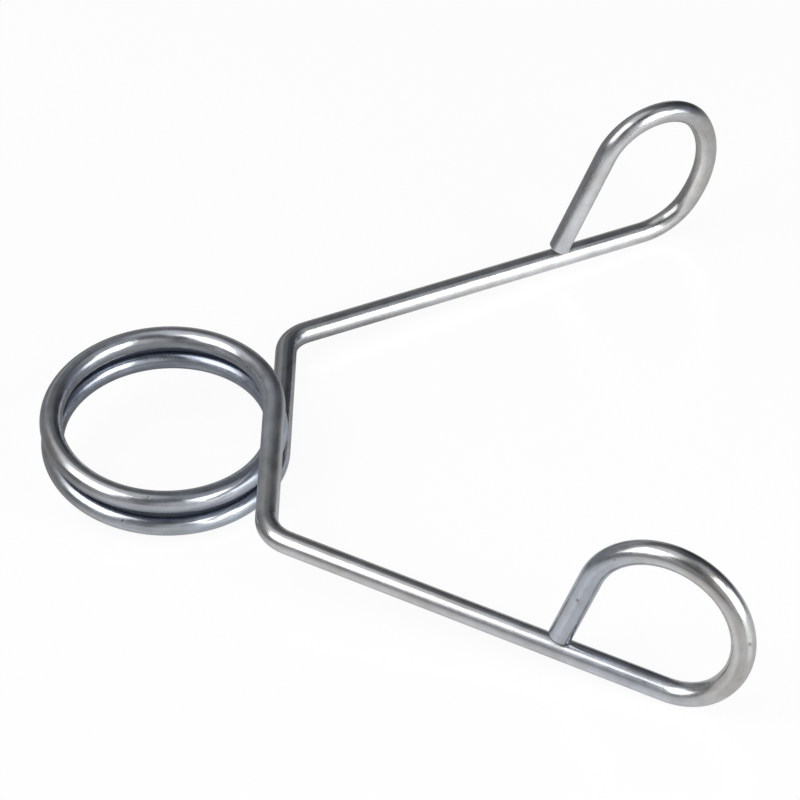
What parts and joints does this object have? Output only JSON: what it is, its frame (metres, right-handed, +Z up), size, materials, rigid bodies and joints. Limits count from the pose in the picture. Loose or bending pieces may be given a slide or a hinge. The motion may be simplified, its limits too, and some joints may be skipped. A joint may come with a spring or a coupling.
{
  "type": "double torsion spring clip",
  "caption": "Two-turn double torsion spring of round wire whose two arms end in upright finger loops: squeezing the arms opens the coil, which then grips a round sleeve.",
  "frame": {"origin": "on the surface the spring lies on, under the centre of its overall box", "axes": "+Z up from the surface, +X from the coil to the finger loops, +Y from the near arm, which leaves the top of the coil, to the far arm, which leaves its foot. The coil's own axis leans 7.5 degrees from +Z, as the spring lies at rest on its lower turn and both arm ends"},
  "size_m": [0.172, 0.1962, 0.0488],
  "materials": {
    "zinc_plated_spring_steel": "bright zinc plate on drawn spring wire"
  },
  "bodies": {
    "root": {"torsion_spring": "zinc_plated_spring_steel"}
  },
  "joints": []
}
